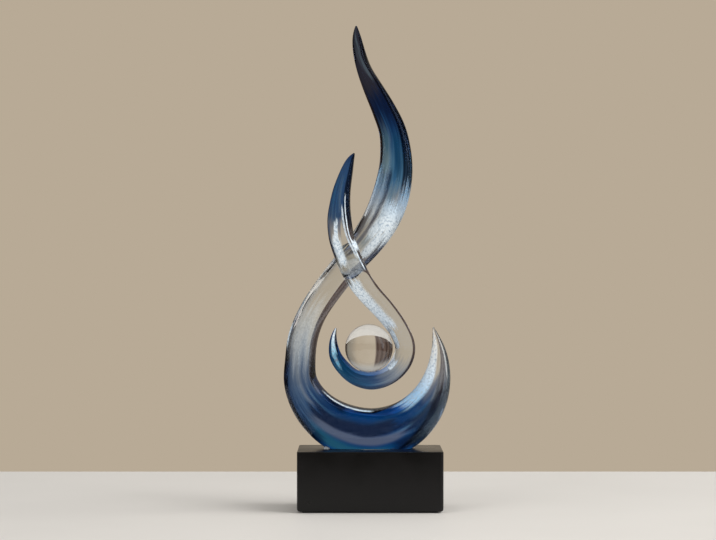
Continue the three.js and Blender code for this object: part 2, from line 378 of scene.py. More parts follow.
def section_outline(station, sides):
    """Gives a section's outline: a rounded rhombus, rolled, ridged and fitted to its width and depth."""
    corner_power = 7
    thickness, depth, roll, ridge, fullness, squareness = station[3:9]
    angles = 2 * math.pi * np.arange(sides) / sides
    power = 2 / fullness
    corner_x = np.sign(np.cos(angles)) * np.abs(np.cos(angles)) ** power
    corner_y = np.sign(np.sin(angles)) * np.abs(np.sin(angles)) ** power
    turn = -math.radians(roll)
    across = corner_x * math.cos(turn) - corner_y * math.sin(turn)
    forward = corner_x * math.sin(turn) + corner_y * math.cos(turn)
    across /= across.max()
    forward /= forward.max()
    filled = (1 - np.minimum(np.abs(across), 1) ** corner_power) ** (1 / corner_power)
    square = np.sign(forward) * filled
    squareness = min(max(squareness, 0), 1)
    forward = np.where(across > 0, forward + (square - forward) * squareness, forward)
    across = across + ridge * np.abs(forward) * (1 - np.abs(across))
    return across * thickness / 2, forward * depth / 2


def strand_path(stations, count):
    """Samples the stations at count + 1 places, evenly along the strand, with the direction at each."""
    steps_per_sample = 12
    rows = np.array(stations, float)
    fine = np.linspace(0, len(rows) - 1, steps_per_sample * count)
    line = np.array([smooth_through(rows, t)[:3] for t in fine])
    length = np.concatenate([[0], np.cumsum(np.linalg.norm(np.diff(line, axis=0), axis=1))])
    places = np.interp(np.linspace(0, length[-1], count + 1), length, fine)
    samples = np.array([smooth_through(rows, t) for t in places])
    along = np.gradient(samples[:, :3], axis=0)
    along /= np.linalg.norm(along, axis=1)[:, None]
    return samples, along


def add_strand(name, stations, sides, rings):
    """Shapes a sphere primitive into a strand: each of its rings becomes a section on the strand's path."""
    samples, along = strand_path(stations, rings)
    side_axis = np.cross(along, (0, 1, 0))
    side_axis /= np.linalg.norm(side_axis, axis=1)[:, None]
    front_axis = np.cross(along, side_axis)
    bpy.ops.object.select_all(action="DESELECT")
    bpy.ops.mesh.primitive_uv_sphere_add(segments=sides, ring_count=rings + 2, radius=1)
    piece = bpy.context.object
    piece.name = name
    outlines = [section_outline(sample, sides) for sample in samples]
    for vertex in piece.data.vertices:
        ring = round(math.acos(max(-1, min(1, vertex.co.z))) / math.pi * (rings + 2)) - 1
        if ring < 0 or ring > rings:
            vertex.co = Vector(samples[0 if ring < 0 else -1][:3])
            continue
        side = round(math.atan2(vertex.co.y, vertex.co.x) / (2 * math.pi) * sides) % sides
        across, forward = (axis[side] for axis in outlines[ring])
        vertex.co = Vector(samples[ring][:3] + side_axis[ring] * across + front_axis[ring] * forward)
    apply_modifier(piece, "SUBSURF", levels=2, render_levels=2)
    bpy.ops.object.mode_set(mode="EDIT")
    bpy.ops.mesh.select_all(action="SELECT")
    bpy.ops.mesh.normals_make_consistent(inside=False)
    bpy.ops.object.mode_set(mode="OBJECT")
    return piece


def apply_modifier(piece, kind, **settings):
    """Gives the piece a modifier and applies it."""
    modifier = piece.modifiers.new(kind.lower(), kind)
    for key, value in settings.items():
        setattr(modifier, key, value)
    bpy.context.view_layer.objects.active = piece
    bpy.ops.object.modifier_apply(modifier=modifier.name)


def lay_flow(piece, stations):
    """Gives the piece a UV map that follows the strand: across, from -1 to 1, and share of its length."""
    steps = 400
    batch = 2000
    samples, along = strand_path(stations, steps)
    spacing = np.linalg.norm(samples[1, :3] - samples[0, :3])
    side_axis = np.cross(along, (0, 1, 0))
    count = len(piece.data.vertices)
    points = np.zeros(count * 3, np.float32)
    piece.data.vertices.foreach_get("co", points)
    points = points.reshape(count, 3)
    flow = np.zeros((count, 2), np.float32)
    for start in range(0, count, batch):
        part = points[start : start + batch]
        nearest = np.linalg.norm(part[:, None] - samples[None, :, :3], axis=2).argmin(axis=1)
        offset = part - samples[nearest, :3]
        step = np.einsum("ij,ij->i", offset, along[nearest])
        across = np.einsum("ij,ij->i", offset, side_axis[nearest])
        flow[start : start + batch, 0] = across / (samples[nearest, 3] / 2)
        flow[start : start + batch, 1] = (nearest + step / spacing) / steps
    while piece.data.uv_layers:
        piece.data.uv_layers.remove(piece.data.uv_layers[0])
    layer = piece.data.uv_layers.new(name="flow")
    corners = np.zeros(len(piece.data.loops), np.int32)
    piece.data.loops.foreach_get("vertex_index", corners)
    layer.data.foreach_set("uv", flow[corners].ravel())


large_place = (crescent_centre, crescent_radius, flame_rise, neck_back)
large_stations = [
    *stations_from(flame_rows, *large_place, flame_thickness, flame_depth),
    *stations_from(neck_rows, *large_place, neck_thickness, neck_depth),
]
for step in range(crescent_steps + 1):
    crescent_angle = (loop_sweep + horn_sweep) * step / crescent_steps - loop_sweep
    large_stations.append(crescent_station(crescent_angle))
large = add_strand("large_strand_cast", large_stations, sides=48, rings=96)
apply_modifier(large, "DISPLACE", strength=-polish, mid_level=0)


# Small strand
# Clear resin cast in one piece: a flame that comes down in front of the neck and ends in the hook that
# carries the ball. Below the crossing, the outer half of its section is squarer.
ball_low, ball_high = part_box("crystal_ball")
ball_centre = (ball_low + ball_high) / 2
ball_radius = (ball_high.z - ball_low.z) / 2
shank_rise = 162.2 * MM
shank_reach = 24.6 * MM
shank_front = -9 * MM
shank_thickness = 21.8 * MM
shank_depth = 20 * MM
hook_thickness = 17.2 * MM
hook_depth = 17 * MM
outer_squareness = 0.9
rows_to_crossing = 9

shank_rows = [
    (-0.5, 1, 0.42, 0, 0, 20, 0),
    (-0.63, 0.964, 0.47, 0.3, 0.33, 24, 0),
    (-0.76, 0.903, 0.53, 0.49, 0.53, 28, 0),
    (-0.91, 0.814, 0.63, 0.67, 0.7, 30, 0),
    (-0.98, 0.737, 0.74, 0.8, 0.83, 32, 0),
    (-1, 0.66, 0.84, 0.93, 0.93, 34, 0),
    (-0.94, 0.573, 1, 0.97, 1, 36, 0),
    (-0.78, 0.5, 1, 1, 1, 42, 0),
    (-0.59, 0.425, 1, 0.99, 1, 62, 0.05),
    (-0.32, 0.348, 0.89, 0.93, 0.98, 82, 0.15),
    (0.05, 0.274, 0.63, 0.88, 0.95, 88, 0.2),
    (0.53, 0.194, 0.42, 0.83, 0.9, 90, 0.2),
    (0.95, 0.108, 0.21, 0.78, 0.85, 90, 0.05),
]
# Each row holds degrees below the ball's right-hand side, the gap from the ball as a share of its
# radius, thickness and depth as shares of the hook's, and the ridge.
hook_rows = [
    (-4, 0.09, 0.98, 1, -0.1),
    (22, 0.04, 1, 1, -0.3),
    (52, 0, 0.93, 1, -0.45),
    (84, -0.035, 0.91, 1, -0.5),
    (114, -0.01, 0.8, 0.91, -0.5),
    (140, 0.035, 0.71, 0.8, -0.45),
    (165, 0.165, 0.62, 0.68, -0.4),
    (185, 0.305, 0.44, 0.5, -0.35),
    (200, 0.45, 0.255, 0.3, -0.3),
    (211, 0.58, 0, 0, -0.2),
]


def hook_station(angle, gap_share, across_share, depth_share, ridge):
    """Gives the hook's station at an angle in degrees below the ball's right-hand side."""
    thickness = max(across_share * hook_thickness, tip_thickness)
    reach = ball_radius * (1 + gap_share) + thickness / 2
    return (
        ball_centre.x + reach * math.cos(math.radians(angle)),
        0,
        ball_centre.z - reach * math.sin(math.radians(angle)),
        thickness,
        max(depth_share * hook_depth, tip_thickness),
        90,
        ridge,
        strand_fullness,
        outer_squareness,
    )


shank_stations = stations_from(
    shank_rows,
    Vector((ball_centre.x, ball_centre.z)),
    shank_reach,
    shank_rise,
    shank_front,
    shank_thickness,
    shank_depth,
)
small_stations = [
    *shank_stations[:rows_to_crossing],
    *[(*station[:-1], outer_squareness) for station in shank_stations[rows_to_crossing:]],
    *[hook_station(*row) for row in hook_rows],
]
small = add_strand("small_strand_cast", small_stations, sides=48, rings=76)


# Crossing adhesive
# The neck has a saddle ground into it, where the small strand lies in front. Clear adhesive fills the
# saddle and wets both strands, so that little of the joint shows.
saddle_gap = 0.7 * MM
adhesive_wetting = 0.04 * MM


def copy_piece(piece, name, growth=0.0):
    """Copies a piece with its mesh and moves its skin outwards, or inwards if the growth is negative."""
    make_active(piece)
    bpy.ops.object.duplicate()
    copied = bpy.context.object
    copied.name = name
    if growth:
        apply_modifier(copied, "DISPLACE", strength=growth, mid_level=0)
    return copied


def combine(piece, other, operation):
    """Cuts the other piece out of the piece, or keeps what they share, and removes the other."""
    apply_modifier(piece, "BOOLEAN", operation=operation, object=other, solver="EXACT")
    bpy.data.objects.remove(other)


def clear_adhesive():
    material, tree, shader = new_material("clear_adhesive")
    haze = noise(tree, object_point(tree), scale=300, detail=3)
    colour = ramp(tree, haze, [(0.3, (226, 230, 232)), (0.7, (250, 251, 252))])
    tree.links.new(colour, shader.inputs["Base Color"])
    tree.links.new(bump(tree, haze, distance=0.05 * MM), shader.inputs["Normal"])
    shader.inputs["Transmission Weight"].default_value = 1.0
    shader.inputs["IOR"].default_value = 1.47
    shader.inputs["Roughness"].default_value = 0.04
    return material


def finish_adhesive(piece, cad_node):
    """Shades an adhesive piece, gives it its material and puts it in the place of its CAD node."""
    finish_mesh(piece, smooth_angle=40)
    piece.data.materials.clear()
    piece.data.materials.append(adhesive)
    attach(piece, "root")
    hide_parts(cad_node)


adhesive = clear_adhesive()
crossing = copy_piece(small, "crossing_adhesive", saddle_gap + adhesive_wetting)
combine(crossing, copy_piece(large, "uncut_neck"), "INTERSECT")
combine(crossing, copy_piece(small, "shank_room", -adhesive_wetting), "DIFFERENCE")
finish_adhesive(crossing, "crossing_bond")
combine(large, copy_piece(small, "saddle_cutter", saddle_gap), "DIFFERENCE")


# Foot
# The crescent is ground flat where it stands on the block. Clear adhesive under it has squeezed out in a
# fine bead all round, and a larger whitish drop was left at the end below the neck.
foot_bead = 1.0 * MM
drop_radii = Vector((3.2, 3.6, 2.6)) * MM
drop_inset = 4.4 * MM
drop_forward = 4 * MM
drop_place = Vector((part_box("foot_bond")[0].x + drop_inset, -drop_forward, block_high.z))
drop_clearance = 0.1 * MM


def cut_level(piece, height, keep_above):
    """Cuts a piece at a height and closes the cut."""
    make_active(piece)
    bpy.ops.object.mode_set(mode="EDIT")
    bpy.ops.mesh.select_all(action="SELECT")
    bpy.ops.mesh.bisect(
        plane_co=(0, 0, height),
        plane_no=(0, 0, 1),
        use_fill=True,
        clear_inner=keep_above,
        clear_outer=not keep_above,
        threshold=tolerance,
    )
    finish_mesh(piece, smooth_angle=45)


def cloudy_adhesive():
    material, tree, shader = new_material("cloudy_adhesive")
    haze = noise(tree, object_point(tree), scale=900, detail=3)
    colour = ramp(tree, haze, [(0.3, (176, 184, 190)), (0.7, (226, 230, 232))])
    tree.links.new(colour, shader.inputs["Base Color"])
    tree.links.new(bump(tree, haze, distance=0.05 * MM), shader.inputs["Normal"])
    shader.inputs["Transmission Weight"].default_value = 0.4
    shader.inputs["IOR"].default_value = 1.47
    shader.inputs["Roughness"].default_value = 0.14
    return material


foot = copy_piece(large, "foot_adhesive", foot_bead)
cut_level(foot, foot_height + adhesive_wetting, keep_above=False)
cut_level(foot, block_high.z, keep_above=True)
bpy.ops.object.select_all(action="DESELECT")
bpy.ops.mesh.primitive_uv_sphere_add(segments=32, ring_count=24, radius=1, location=drop_place)
drop = bpy.context.object
drop.name = "adhesive_drop"
drop.scale = drop_radii
bpy.ops.object.transform_apply(location=True, rotation=True, scale=True)
cut_level(drop, block_high.z, keep_above=True)
combine(drop, copy_piece(large, "drop_room", drop_clearance), "DIFFERENCE")
combine(drop, copy_piece(foot, "bead_room"), "DIFFERENCE")
finish_mesh(drop, smooth_angle=45)
drop.data.materials.append(cloudy_adhesive())
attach(drop, "root")
finish_adhesive(foot, "foot_bond")
cut_level(large, foot_height, keep_above=True)


# Ball seat
# A shallow dish is ground into the hook, and a film of clear adhesive in it holds the ball. The film
# wets both, so that little of the joint shows.
ball_seat_gap = 0.7 * MM
patch_margin = 1 * MM
ball_bond_low, ball_bond_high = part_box("ball_bond")


def add_ball(name, radius):
    """Adds a sphere round the crystal ball's centre."""
    bpy.ops.object.select_all(action="DESELECT")
    bpy.ops.mesh.primitive_uv_sphere_add(segments=128, ring_count=64, radius=radius, location=ball_centre)
    ball = bpy.context.object
    ball.name = name
    bpy.ops.object.transform_apply(location=True, rotation=True, scale=True)
    bpy.ops.object.shade_smooth()
    return ball


ball_film = add_ball("ball_adhesive", ball_radius + ball_seat_gap + adhesive_wetting)
patch_low = ball_bond_low - Vector((0, 0, patch_margin))
patch = add_box("film_patch", patch_low, ball_bond_high)
bpy.ops.object.mode_set(mode="OBJECT")
combine(ball_film, patch, "INTERSECT")
combine(ball_film, copy_piece(small, "uncut_hook"), "INTERSECT")
combine(ball_film, add_ball("ball_room", ball_radius - adhesive_wetting), "DIFFERENCE")
finish_adhesive(ball_film, "ball_bond")
combine(small, add_ball("seat_cutter", ball_radius + ball_seat_gap), "DIFFERENCE")
finish_mesh(small, smooth_angle=45)


# Dye and painted shade in the strands
# Blue dye was floated into the clear resin before it set. It drew out in long ribbons with feathered
# ends, which follow each strand. Both flames, the crescent and the hook are blue, and the rest is clear.
# Some ribbons paint shade instead: dark bands and near-black rims where the glass shows dark
# surroundings. One paints a highlight, a pale streak down the large flame's tip.
navy_black = (20, 40, 88)
navy = (30, 72, 142)
strong_blue = (4, 76, 164)
deep_blue = (64, 130, 200)
sky_blue = (142, 178, 214)
teal = (50, 128, 180)
slate = (172, 194, 228)
pale_slate = (222, 234, 248)
dusk = (120, 150, 200)
evening_blue = (58, 98, 164)
azure = (112, 168, 218)
lavender = (116, 138, 188)
marine = (16, 78, 138)
storm = (58, 62, 84)
pale_storm = (74, 80, 104)
# Painted shade: the near-black of rims where the glass shows dark surroundings.
painted_shade_black = (8, 14, 30)
# Painted shade: the grey of dark surroundings seen through the horn's outer edge.
painted_shade_grey = (112, 108, 122)
sand = (224, 208, 188)
clear = (236, 240, 243)
# Painted shade: the brownish dark of the neck's inner face and of the small strand's right edge.
painted_shade_brown = (200, 188, 182)


def blend(tree, factor, first, second):
    """Mixes two colours and returns the result."""
    return add_node(tree, "ShaderNodeMix", {0: factor, 6: first, 7: second}, data_type="RGBA").outputs[2]


def ease(tree, value, start, end):
    """Rises smoothly from 0 at the start to 1 at the end."""
    inputs = {"Value": value, "From Min": start, "From Max": end}
    return add_node(tree, "ShaderNodeMapRange", inputs, interpolation_type="SMOOTHSTEP").outputs["Result"]


def thread_noise(tree, across, along, seed, across_scale, along_scale, detail):
    """Adds noise that is drawn out along the strand and returns its value."""
    inputs = {
        "X": calculate(tree, "MULTIPLY", across, across_scale),
        "Y": calculate(tree, "MULTIPLY", along, along_scale),
        "Z": seed,
    }
    return noise(tree, add_node(tree, "ShaderNodeCombineXYZ", inputs).outputs["Vector"], 1.0, detail)


ribbon_shape = ("Centre Start", "Centre End", "Half Width", "Start", "End", "Feather")
ribbon_inputs = ("Across", "Along", *ribbon_shape, "Seed")


def build_ribbon_group():
    """Builds the node group of one ribbon: a mask in the strand's own across and along."""
    core_share = 0.35
    finger_reach = 2.4
    group = bpy.data.node_groups.new("strand_ribbon", "ShaderNodeTree")
    for name in ribbon_inputs:
        group.interface.new_socket(name=name, in_out="INPUT", socket_type="NodeSocketFloat")
    group.interface.new_socket(name="Mask", in_out="OUTPUT", socket_type="NodeSocketFloat")
    given = group.nodes.new("NodeGroupInput").outputs
    across, along, start, end = given["Across"], given["Along"], given["Start"], given["End"]
    inputs = {
        "Value": along,
        "From Min": start,
        "From Max": end,
        "To Min": given["Centre Start"],
        "To Max": given["Centre End"],
    }
    centre = add_node(group, "ShaderNodeMapRange", inputs).outputs["Result"]
    drift = thread_noise(group, across, along, given["Seed"], across_scale=1.0, along_scale=12.0, detail=2)
    drift = calculate(group, "MULTIPLY", calculate(group, "SUBTRACT", drift, 0.5), given["Half Width"])
    off_centre = calculate(group, "SUBTRACT", calculate(group, "ADD", across, drift), centre)
    off_centre = calculate(group, "ABSOLUTE", off_centre)
    core = calculate(group, "MULTIPLY", given["Half Width"], core_share)
    side_mask = ease(group, off_centre, given["Half Width"], core)
    fingers = thread_noise(group, across, along, given["Seed"], across_scale=9.0, along_scale=7.0, detail=3)
    reach = calculate(group, "MULTIPLY", calculate(group, "SUBTRACT", fingers, 0.5), given["Feather"])
    place = calculate(group, "ADD", along, calculate(group, "MULTIPLY", reach, finger_reach))
    rise = ease(group, place, start, calculate(group, "ADD", start, given["Feather"]))
    fall = ease(group, place, end, calculate(group, "SUBTRACT", end, given["Feather"]))
    mask = calculate(group, "MULTIPLY", calculate(group, "MULTIPLY", rise, fall), side_mask)
    group.links.new(mask, group.nodes.new("NodeGroupOutput").inputs["Mask"])
    return group


def ribbon_mask(tree, across, along, shape, seed):
    """Places the ribbon group, with values in the order of ribbon_shape, and returns its mask."""
    inputs = dict(zip(ribbon_inputs, (across, along, *shape, seed)))
    return add_node(tree, "ShaderNodeGroup", inputs, node_tree=ribbon_group).outputs["Mask"]


def read_flow(tree):
    """Returns the strand's own across and along, from its UV map."""
    flow = add_node(tree, "ShaderNodeUVMap", uv_map="flow").outputs["UV"]
    split = add_node(tree, "ShaderNodeSeparateXYZ", {"Vector": flow})
    return split.outputs["X"], split.outputs["Y"]


def dyed_and_shaded_resin(name, dense_stops, thin_stops, ribbons):
    """Makes polished clear resin with dye and painted shade: two ramps along the strand, mixed in streaks,
    and ribbons.

    A ribbon holds its tint, strength, centre across at its start and at its end, half width, start, end
    and feather. Starts, ends and feathers are shares of the strand's length.
    """
    finger_reach = 0.09
    deep_reflection = (0.25, 0.35, 0.55, 1.0)
    material, tree, shader = new_material(name)
    across, along = read_flow(tree)
    fingers = thread_noise(tree, across, along, seed=3.7, across_scale=6.0, along_scale=9.0, detail=3)
    reach = calculate(tree, "MULTIPLY", calculate(tree, "SUBTRACT", fingers, 0.5), finger_reach)
    place = calculate(tree, "ADD", along, reach)
    streaks = thread_noise(tree, across, along, seed=8.1, across_scale=7.0, along_scale=6.0, detail=4)
    streaks = ease(tree, streaks, start=0.45, end=0.7)
    dye_and_shade = blend(tree, streaks, ramp(tree, place, dense_stops), ramp(tree, place, thin_stops))
    for index, (tint, strength, *shape) in enumerate(ribbons):
        mask = ribbon_mask(tree, across, along, shape, seed=1.3 * index)
        dye_and_shade = blend(tree, calculate(tree, "MULTIPLY", mask, strength), dye_and_shade, linear(*tint))
    tree.links.new(dye_and_shade, shader.inputs["Base Color"])
    swell = noise(tree, object_point(tree), scale=45, detail=2)
    tree.links.new(bump(tree, swell, distance=0.12 * MM), shader.inputs["Normal"])
    shader.inputs["Transmission Weight"].default_value = 1.0
    shader.inputs["IOR"].default_value = 1.5
    shader.inputs["Roughness"].default_value = 0.02
    shader.inputs["Specular Tint"].default_value = deep_reflection
    return material


ribbon_group = build_ribbon_group()
large.data.materials.clear()
large.data.materials.append(
    dyed_and_shaded_resin(
        "dyed_and_shaded_resin_large",
        dense_stops=[
            (0, storm), (0.1, storm), (0.13, navy_black), (0.15, navy_black), (0.18, navy),
            (0.21, deep_blue), (0.27, deep_blue), (0.34, clear), (0.5, clear), (0.53, pale_slate),
            (0.565, slate), (0.59, dusk), (0.63, evening_blue), (0.68, navy), (0.74, strong_blue),
            (0.81, strong_blue), (0.86, deep_blue), (0.93, clear),
        ],
        thin_stops=[
            (0, pale_storm), (0.07, pale_storm), (0.1, storm), (0.15, navy), (0.18, deep_blue),
            (0.22, azure), (0.26, azure), (0.31, clear), (0.5, clear), (0.535, pale_slate),
            (0.58, slate), (0.61, dusk), (0.68, deep_blue), (0.75, strong_blue), (0.81, deep_blue),
            (0.85, sky_blue), (0.93, clear),
        ],
        ribbons=[
            # The first ribbon is a painted highlight, the pale streak down the flame's tip.
            (sky_blue, 0.32, -0.45, 0.45, 0.22, 0.0, 0.1, 0.02),
            (navy_black, 0.95, 0.45, 0.95, 0.7, 0.1, 0.24, 0.03),
            (azure, 0.95, 0.85, 0.95, 0.55, 0.235, 0.29, 0.03),
            (clear, 1.0, -1.0, -0.9, 0.7, 0.15, 0.6, 0.04),
            (sand, 1.0, -1.0, -1.0, 0.4, 0.4, 0.53, 0.02),
            (sky_blue, 0.7, -0.02, -0.1, 0.2, 0.25, 0.4, 0.03),
            (navy_black, 0.85, -0.28, -0.45, 0.18, 0.235, 0.41, 0.02),
            (navy, 0.9, 0.95, 0.8, 0.3, 0.335, 0.44, 0.02),
            # Painted shade down the neck's inner face.
            (painted_shade_brown, 0.9, 0.95, 0.95, 0.4, 0.5, 0.66, 0.03),
            (evening_blue, 0.8, -0.8, -0.8, 0.4, 0.55, 0.68, 0.03),
            # The next two ribbons paint shade as near-black rims down the neck's two edges.
            (painted_shade_black, 1.0, -1.0, -1.0, 0.35, 0.52, 0.7, 0.02),
            (painted_shade_black, 1.0, 0.93, 0.93, 0.45, 0.57, 0.72, 0.02),
            (slate, 0.4, -0.1, 0.1, 0.12, 0.56, 0.67, 0.02),
            (navy_black, 0.98, 0.0, 0.35, 0.4, 0.65, 0.86, 0.03),
            (navy_black, 0.85, -0.1, -0.35, 0.35, 0.81, 0.915, 0.03),
            (lavender, 0.85, -0.25, -0.2, 0.22, 0.66, 0.83, 0.03),
            (teal, 0.8, -0.6, -0.6, 0.25, 0.67, 0.8, 0.03),
            (navy_black, 0.9, -0.55, -0.5, 0.3, 0.79, 0.86, 0.02),
            (navy_black, 0.9, -0.7, -0.75, 0.2, 0.66, 0.715, 0.015),
            (clear, 0.8, -0.9, -0.85, 0.4, 0.9, 0.99, 0.02),
            (strong_blue, 0.8, 0.4, 0.25, 0.28, 0.8, 0.885, 0.02),
            (navy_black, 0.8, -0.7, -0.75, 0.3, 0.85, 0.91, 0.015),
            (marine, 0.8, 0.05, 0.1, 0.26, 0.17, 0.262, 0.03),
            # Painted shade: a near-black rim down the flame's right edge.
            (painted_shade_black, 0.85, 0.95, 1.0, 0.24, 0.09, 0.24, 0.02),
            # Painted shade along the horn's outer edge.
            (painted_shade_grey, 0.75, -0.85, -0.85, 0.4, 0.84, 0.94, 0.02),
            (navy, 0.6, 0.3, 0.05, 0.22, 0.85, 0.925, 0.02),
            # Painted shade: a dark spot low on the horn's outer edge.
            (painted_shade_black, 0.85, -0.9, -0.9, 0.3, 0.815, 0.86, 0.008),
        ],
    )
)
lay_flow(large, large_stations)
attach(large, "root")
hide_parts("large_strand")

small.data.materials.clear()
small.data.materials.append(
    dyed_and_shaded_resin(
        "dyed_and_shaded_resin_small",
        dense_stops=[
            (0, navy_black), (0.02, navy), (0.04, evening_blue), (0.2, evening_blue), (0.25, clear),
            (0.65, clear), (0.71, slate), (0.77, evening_blue), (0.86, marine), (0.98, navy),
        ],
        thin_stops=[
            (0, navy), (0.03, evening_blue), (0.06, deep_blue), (0.17, deep_blue), (0.2, sky_blue),
            (0.23, clear), (0.66, clear), (0.72, slate), (0.79, deep_blue), (0.88, teal), (1, navy),
        ],
        ribbons=[
            (navy_black, 0.9, 0.85, 0.9, 0.4, 0.03, 0.24, 0.03),
            (sky_blue, 0.3, -0.2, 0.1, 0.12, 0.06, 0.2, 0.03),
            # Painted shade: a brownish line down the shank's right edge.
            (painted_shade_brown, 0.9, 1.0, 1.0, 0.15, 0.4, 0.8, 0.03),
            (evening_blue, 0.9, -0.95, -0.95, 0.3, 0.2, 0.3, 0.02),
            # Painted shade: a faint band where the neck shows through the crossing.
            (dusk, 0.38, 0.1, 0.1, 0.9, 0.342, 0.374, 0.006),
            (storm, 0.9, 0.9, 0.88, 0.34, 0.63, 0.84, 0.03),
            (navy_black, 0.85, -0.9, -0.8, 0.35, 0.82, 1.0, 0.03),
        ],
    )
)
lay_flow(small, small_stations)
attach(small, "root")
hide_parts("small_strand")


# Crystal ball
# A clear polished ball of crystal glass. It rests on its film of adhesive in the hook, and nothing else
# holds it. The glass has a faint warm cast in places.
def crystal_glass():
    material, tree, shader = new_material("crystal_glass")
    haze = noise(tree, object_point(tree), scale=90, detail=2)
    colour = ramp(tree, haze, [(0.3, (244, 243, 240)), (0.7, (252, 252, 250))])
    tree.links.new(colour, shader.inputs["Base Color"])
    shader.inputs["Transmission Weight"].default_value = 1.0
    shader.inputs["IOR"].default_value = 1.52
    shader.inputs["Roughness"].default_value = 0.0
    return material


ball = add_ball("crystal_ball_polished", ball_radius)
ball.data.materials.append(crystal_glass())
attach(ball, "root")
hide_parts("crystal_ball")


# Painted highlights
# Thin skins that lie just over the strands' front and carry painted highlights and painted reflections
# as white streaks. On the large strand they lie in the flame's lower half, the neck's rim, the crescent's
# inner edge and the horn. On the small one they run from the flame down to the hook, and lie at the
# hook's tip.
highlight_veil_proud = 0.08 * MM
highlight_veil_thickness = 0.05 * MM

# A veil ends where the skin turns away from the front. A face that looks straight to the front has 1.
highlight_veil_edge = 0.08

# The colours of the painted highlights and painted reflections.
highlight_white = (236, 247, 254)
faint_highlight_white = (186, 204, 220)
pale_blue_highlight = (166, 208, 242)
warm_highlight = (246, 236, 222)
flame_highlight = (150, 190, 224)
shank_highlight = (214, 230, 246)
hook_highlight = (120, 200, 238)
hook_tip_highlight = (160, 216, 242)


def painted_highlight_skin(name, ribbons, tints, thinnest):
    """Makes the veil of painted highlights and painted reflections: white streaks that thin out to nothing,
    under a polished skin.

    A ribbon holds its strength, then the same values as a ribbon of dye.
    """
    material, tree, shader = new_material(name)
    across, along = read_flow(tree)
    cover = None
    for index, (strength, *shape) in enumerate(ribbons):
        mask = ribbon_mask(tree, across, along, shape, seed=5 + 1.7 * index)
        mask = calculate(tree, "MULTIPLY", mask, strength)
        cover = mask if cover is None else calculate(tree, "MAXIMUM", cover, mask)
    streaks = thread_noise(tree, across, along, seed=6.3, across_scale=9.0, along_scale=2.5, detail=3)
    streaks = ease(tree, streaks, start=0.25, end=0.6)
    highlight_mottle = ease(tree, noise(tree, object_point(tree), scale=600, detail=3), start=0.3, end=0.55)
    body = calculate(tree, "MULTIPLY", streaks, highlight_mottle)
    inputs = {"Value": body, "To Min": thinnest, "To Max": 1.0}
    body = add_node(tree, "ShaderNodeMapRange", inputs).outputs["Result"]
    tree.links.new(calculate(tree, "MULTIPLY", cover, body), shader.inputs["Alpha"])
    tint = blend(tree, highlight_mottle, linear(*faint_highlight_white), ramp(tree, along, tints))
    tree.links.new(tint, shader.inputs["Base Color"])
    tree.links.new(bump(tree, highlight_mottle, distance=0.1 * MM), shader.inputs["Normal"])
    shader.inputs["Roughness"].default_value = 0.15
    shader.inputs["IOR"].default_value = 1.5
    return material


def read_faces(mesh):
    """Returns each face's share along the strand, and how squarely it faces the front."""
    starts = np.zeros(len(mesh.polygons), np.int32)
    normals = np.zeros(3 * len(mesh.polygons), np.float32)
    flow = np.zeros(2 * len(mesh.loops), np.float32)
    mesh.polygons.foreach_get("loop_start", starts)
    mesh.polygons.foreach_get("normal", normals)
    mesh.uv_layers["flow"].data.foreach_get("uv", flow)
    return flow[1::2][starts], -normals[1::3]


def select_faces(piece, wanted):
    """Selects the piece's faces that a mask picks, and leaves it in edit mode."""
    make_active(piece)
    bpy.ops.object.mode_set(mode="EDIT")
    bpy.ops.mesh.select_mode(type="FACE")
    bpy.ops.mesh.select_all(action="DESELECT")
    bpy.ops.object.mode_set(mode="OBJECT")
    piece.data.polygons.foreach_set("select", wanted)
    bpy.ops.object.mode_set(mode="EDIT")


def add_highlight_veil(strand, name, spans, material):
    """Lifts the strand's front skin off in the given spans of its length and gives it a thickness."""
    veil = copy_piece(strand, name, highlight_veil_proud)
    along, facing = read_faces(veil.data)
    kept = np.zeros(len(along), bool)
    for start, end in spans:
        kept |= (along > start) & (along < end)
    select_faces(veil, ~(kept & (facing > highlight_veil_edge)))
    bpy.ops.mesh.delete(type="FACE")
    bpy.ops.object.mode_set(mode="OBJECT")

    # Of each span only the sheet round its middle stays, and not the loose scraps beside it.
    along, facing = read_faces(veil.data)
    whole = np.zeros(len(along), bool)
    for start, end in spans:
        whole[np.argmin(np.abs(along - (start + end) / 2) - facing)] = True
    select_faces(veil, whole)
    bpy.ops.mesh.select_linked()
    bpy.ops.mesh.select_all(action="INVERT")
    bpy.ops.mesh.delete(type="FACE")
    bpy.ops.object.mode_set(mode="OBJECT")

    apply_modifier(veil, "SOLIDIFY", thickness=highlight_veil_thickness, offset=-1)
    finish_mesh(veil, smooth_angle=45)
    veil.data.materials.clear()
    veil.data.materials.append(material)
    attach(veil, "root")


# Painted highlights on the large strand: the flame's pale patch, lines of light on the neck's rim and the
# crescent's inner edge, and the horn's light inner face.
add_highlight_veil(
    large,
    "highlight_veil_large",
    [(0.2, 1.0)],
    painted_highlight_skin(
        "painted_highlight_skin_large",
        ribbons=[
            (1.0, 0.3, 0.45, 0.75, 0.28, 0.36, 0.025),
            (0.9, 0.4, 0.45, 0.36, 0.33, 0.395, 0.015),
            (0.1, -0.97, -0.97, 0.24, 0.375, 0.575, 0.02),
            (0.6, 0.8, 0.75, 0.45, 0.25, 0.335, 0.04),
            (0.3, -0.8, -0.7, 0.5, 0.22, 0.36, 0.06),
            (0.14, -0.1, -0.1, 0.85, 0.46, 0.62, 0.06),
            (1.0, 0.95, 0.4, 0.48, 0.832, 1.02, 0.04),
            (0.07, -0.4, -0.5, 0.75, 0.88, 1.02, 0.04),
            (0.05, -0.85, -0.75, 0.35, 0.81, 0.92, 0.03),
            (0.9, 0.88, 0.9, 0.035, 0.645, 0.78, 0.02),
            (0.8, -0.95, -0.95, 0.1, 0.53, 0.575, 0.015),
        ],
        tints=[
            (0.27, flame_highlight), (0.32, highlight_white), (0.7, highlight_white), (0.84, pale_blue_highlight), (0.88, pale_blue_highlight),
            (0.935, highlight_white), (1, warm_highlight),
        ],
        thinnest=0.84,
    ),
)
